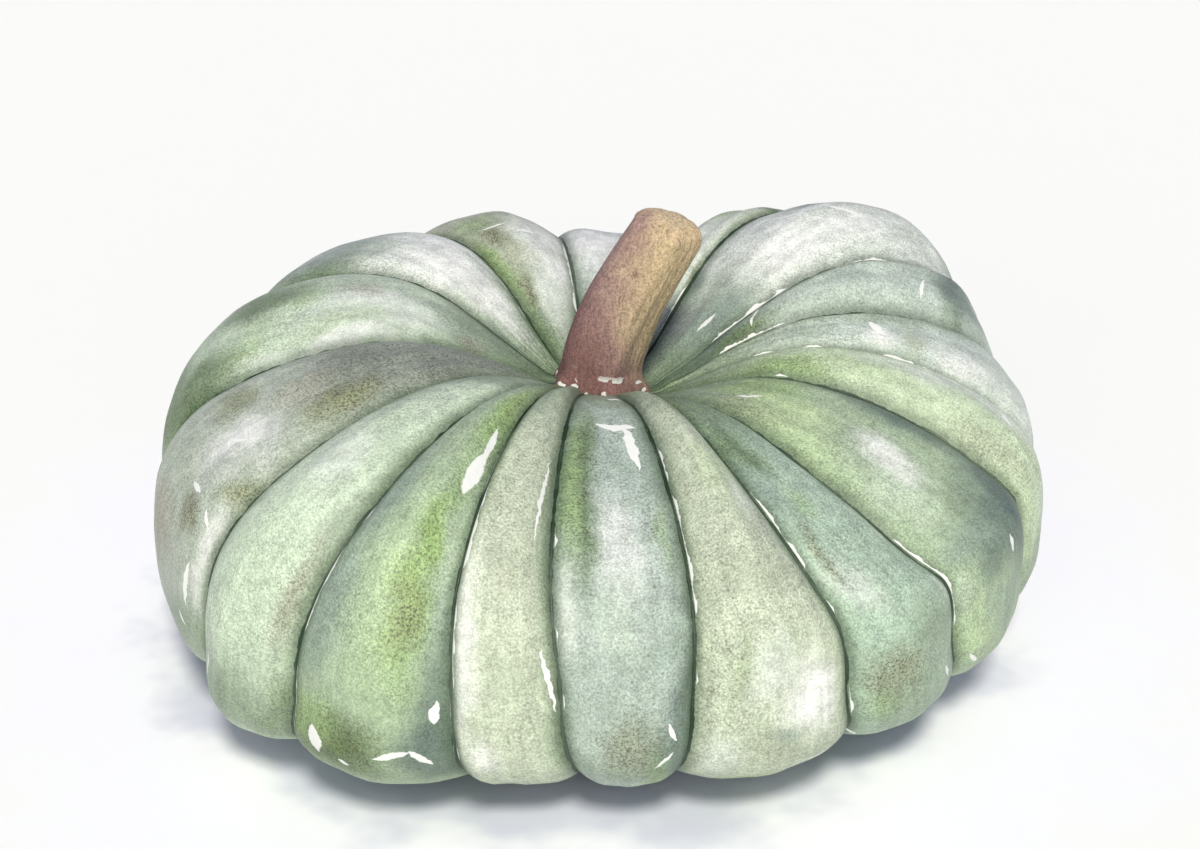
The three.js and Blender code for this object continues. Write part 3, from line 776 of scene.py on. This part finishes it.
def stem_surface():
    """Points of the stem in millimetres, from its cut end down to its foot, and their places on it."""
    length = stem_line(np.array([0.0]))[2]
    end_start = 1 - STEM["rounded_end"] / length
    turn = np.linspace(0, math.pi / 2, STEM_END_ROWS + 2)[1:-1]
    shaft_share = np.linspace(-STEM_SINK, end_start, STEM_ROWS)
    share = np.concatenate([shaft_share, mix(end_start, 1, np.sin(turn))])
    scale = np.concatenate([np.ones(STEM_ROWS), np.cos(turn) ** 0.8])
    middle, tangent, _ = stem_line(np.clip(share, 0, 1))
    middle[:, 2] += np.minimum(share, 0) * length
    seat_facing = np.array([SEAT["fall_right"], SEAT["fall_back"], 1.0])
    seat_facing /= np.linalg.norm(seat_facing)
    facing = mix(seat_facing, tangent, smooth(share * 3)[:, None])
    facing /= np.linalg.norm(facing, axis=1, keepdims=True)
    right = np.array([1.0, 0, 0]) - facing * facing[:, :1]
    right /= np.linalg.norm(right, axis=1, keepdims=True)
    back = np.cross(facing, right)

    angle = np.linspace(0, 2 * math.pi, STEM_SIDES, endpoint=False)[None, :]
    held = np.clip(share, 0, 1)[:, None]
    foot = (1 - smooth(held * length / STEM["foot_height"])) * (STEM["foot"] - STEM["shaft"])
    shaft = mix(STEM["shaft"], STEM["end"], smooth(held))
    turned = STEM_RIDGES["turn"] * held
    ridge = 1 + STEM_RIDGES["height"] * np.cos(STEM_RIDGES["count"] * angle + turned)

    # The noise is read round a straight rod, so that it runs along the stem.
    rod = np.broadcast_arrays(20 * np.cos(angle), 20 * np.sin(angle), held * length)
    around = np.stack(rod, -1)
    fibres = 0.28 * cloud(around / [1, 1, 7], 2.4, 83, 2) + 0.5 * cloud(around / [1, 1, 3], 8, 89, 2)
    knobs = 1.3 * cloud(around, 8, 97, 2) * smooth((held - 0.8) / 0.15)
    low = 1 - smooth(held * length / STEM_TOES["reach"])
    toes = STEM_TOES["height"] * np.maximum(0, np.cos(STEM_RIDGES["count"] * angle)) * low
    radius = ((shaft + foot) * ridge + fibres + knobs + toes) * scale[:, None]
    outwards = np.cos(angle)[..., None] * right[:, None] + np.sin(angle)[..., None] * back[:, None]
    points = middle[:, None] + radius[..., None] * outwards
    dent = 0.9 * cloud(points, 6, 101, 2) * (1 - scale[:, None])
    points = points + dent[..., None] * facing[:, None]
    shares, angles = np.broadcast_arrays(share[:, None], angle)
    return points[::-1], shares[::-1], angles, scale[::-1]


def stem_colours(points, share, angle, scale):
    """Mauve and brick at the foot and on the left, ochre and tan on the right and at the top. The
    fourth value marks the foot, where painted glints go.
    """
    drift = 0.25 * cloud(points, 13, 103) + 0.1 * cloud(points, 4, 107)
    colour = np.broadcast_to(pigment("rose"), points.shape)
    colour = glaze(colour, "ochre", smooth((share + 0.45 * np.cos(angle) + drift - 0.2) / 0.7))
    colour = glaze(colour, "tan", 0.5 * smooth(drift * 3))
    colour = glaze(colour, "mauve", smooth((0.44 - share - 0.2 * np.cos(angle) + 0.5 * drift) / 0.38))
    colour = glaze(colour, "pith", 0.6 * smooth((0.75 - scale[:, None] + drift) / 0.3))
    # Where the painted glints go: near the foot.
    glint_at_foot = smooth((0.17 - share) / 0.1)
    return np.concatenate([colour, glint_at_foot[..., None]], -1)


def bark_material():
    """Dry corky stalk with long fibres, dark fissures and a few pale flecks at its foot, which are
    painted glints.
    """
    nodes = Nodes("stem_bark")
    wash = nodes.add("Attribute", attribute_name="wash")
    fibre = nodes.noise(900, 5, 0.65, (1.0, 1.0, 0.14))
    grain = nodes.noise(1300, 3, 0.75)
    shade = nodes.ramp(fibre, 0.32, 0.68, 0.84, 1.12)
    shade = nodes.math("ADD", shade, nodes.spread(grain, -0.36, 0.3))
    colour = nodes.toned(wash.outputs["Color"], shade)
    pits = nodes.ramp(nodes.noise(520, 4, 0.6, (1.0, 1.0, 0.3)), 0.58, 0.68, 0.0, 0.55)
    colour = nodes.blend(pits, colour, pigment("bark_dark"))
    # Painted glints: a few pale flecks at the foot.
    painted_glints = nodes.ramp(nodes.noise(330, 1, 0.5, (0.7, 0.7, 1.3)), 0.62, 0.65)
    painted_glints = nodes.math("MULTIPLY", painted_glints, wash.outputs["Alpha"])
    nodes.link(nodes.blend(painted_glints, colour, pigment("white")), nodes.shader.inputs["Base Color"])
    nodes.link(nodes.spread(grain, 0.72, 0.92), nodes.shader.inputs["Roughness"])
    fine = nodes.bump(grain, 0.0003, 0.6)
    nodes.link(nodes.bump(fibre, 0.0008, 0.6, fine), nodes.shader.inputs["Normal"])
    return nodes.material


def make_stem():
    points, share, angle, scale = stem_surface()
    offset = np.array([STEM_AXIS["x"] + SEAT["x"], STEM_AXIS["y"], FLOOR_DROP + SEAT["height"]])
    poles = points[0].mean(axis=0), points[-1].mean(axis=0)
    stem = closed_mesh("pumpkin_stem", points, *poles, offset)
    add_values(stem, "wash", stem_colours(points, share, angle, scale), "FLOAT_COLOR")
    stem.data.materials.append(bark_material())
    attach(stem, "root")
    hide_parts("stem")


def make_floor():
    """A wide white sheet with a painted violet shadow round the pumpkin's foot."""
    mesh = bpy.data.meshes.new("floor")
    corners = [(-FLOOR_REACH, -FLOOR_REACH, 0), (FLOOR_REACH, -FLOOR_REACH, 0),
               (FLOOR_REACH, FLOOR_REACH, 0), (-FLOOR_REACH, FLOOR_REACH, 0)]
    mesh.from_pydata(corners, [], [(0, 1, 2, 3)])
    floor = bpy.data.objects.new("floor", mesh)
    bpy.context.scene.collection.objects.link(floor)
    nodes = Nodes("floor")
    # Painted shadow: a violet wash, darkest at the foot, fading out to the plain sheet.
    where = nodes.add("TexCoord").outputs["Object"]
    from_middle = nodes.vector("ADD", where, (-FLOOR_SHADOW_WASH["x"], 0, 0))
    away = nodes.vector("LENGTH", from_middle, output="Value")
    wavy = nodes.spread(nodes.noise(24, 3), -FLOOR_SHADOW_WASH["waver"], FLOOR_SHADOW_WASH["waver"])
    away = nodes.math("ADD", away, wavy)
    leaving_shadow = nodes.ramp(away, *FLOOR_SHADOW_WASH["foot"])
    shadowed_near = nodes.blend(leaving_shadow, FLOOR_AND_SHADOW_COLOURS["foot"], FLOOR_AND_SHADOW_COLOURS["near"])
    colour = nodes.blend(nodes.ramp(away, *FLOOR_SHADOW_WASH["fading"]), shadowed_near, FLOOR_AND_SHADOW_COLOURS["far"])
    nodes.link(colour, nodes.shader.inputs["Base Color"])
    nodes.shader.inputs["Roughness"].default_value = 0.95
    nodes.shader.inputs["Specular IOR Level"].default_value = 0.1
    floor.data.materials.append(nodes.material)


def add_sun(name, elevation, azimuth, spread, strength, colour):
    """A soft lamp far away. Azimuth 0 is in front, and angles are in degrees."""
    light = bpy.data.lights.new(name, "SUN")
    light.energy = strength * math.pi
    light.angle = math.radians(spread)
    light.color = colour
    lamp = bpy.data.objects.new(name, light)
    raised, turned = math.radians(elevation), math.radians(azimuth)
    flat = math.cos(raised)
    towards = Vector((flat * math.sin(turned), -flat * math.cos(turned), math.sin(raised)))
    lamp.rotation_euler = (-towards).to_track_quat("-Z", "Y").to_euler()
    lamp.location = towards * 2
    bpy.context.scene.collection.objects.link(lamp)


def make_light():
    """A warm lamp high in front, a broad low one under it, and cool light from all round."""
    for name, lamp in LAMPS.items():
        add_sun(name, *lamp)
    world = bpy.data.worlds.new("world")
    world.use_nodes = True
    tree = world.node_tree
    around = tree.nodes["Background"]
    around.inputs["Color"].default_value = SKY["colour"]
    around.inputs["Strength"].default_value = SKY["strength"]
    seen = tree.nodes.new("ShaderNodeBackground")
    seen.inputs["Color"].default_value = BACKGROUND
    mixed = tree.nodes.new("ShaderNodeMixShader")
    path = tree.nodes.new("ShaderNodeLightPath")
    tree.links.new(path.outputs["Is Camera Ray"], mixed.inputs[0])
    tree.links.new(around.outputs[0], mixed.inputs[1])
    tree.links.new(seen.outputs[0], mixed.inputs[2])
    tree.links.new(mixed.outputs[0], tree.nodes["World Output"].inputs["Surface"])
    bpy.context.scene.world = world


def make_camera():
    """The camera looks down at the front, with the body's middle where the picture has it."""
    elevation = math.radians(CAMERA_ELEVATION)
    focal_pixels = PIXELS_PER_MM / MM * CAMERA_DISTANCE
    middle = Vector((STEM_AXIS["x"], STEM_AXIS["y"], FLOOR_DROP)) * MM
    back = Vector((0, -math.cos(elevation), math.sin(elevation)))
    upwards = Vector((0, math.sin(elevation), math.cos(elevation)))
    per_pixel = CAMERA_DISTANCE / focal_pixels
    aim = middle + Vector((1, 0, 0)) * (IMAGE_SIZE[0] / 2 - BODY_MIDDLE_PIXEL[0]) * per_pixel
    aim += upwards * (BODY_MIDDLE_PIXEL[1] - IMAGE_SIZE[1] / 2) * per_pixel
    data = bpy.data.cameras.new("camera")
    data.sensor_width = SENSOR_WIDTH
    data.lens = SENSOR_WIDTH * focal_pixels / IMAGE_SIZE[0]
    data.clip_start, data.clip_end = SEEN_DISTANCES
    camera = bpy.data.objects.new("camera", data)
    camera.location = middle + back * CAMERA_DISTANCE
    camera.rotation_euler = (aim - camera.location).to_track_quat("-Z", "Y").to_euler()
    bpy.context.scene.collection.objects.link(camera)
    bpy.context.scene.camera = camera


make_camera()
make_fruit()
make_stem()
make_floor()
make_light()
bpy.context.scene.view_settings.view_transform = "Standard"
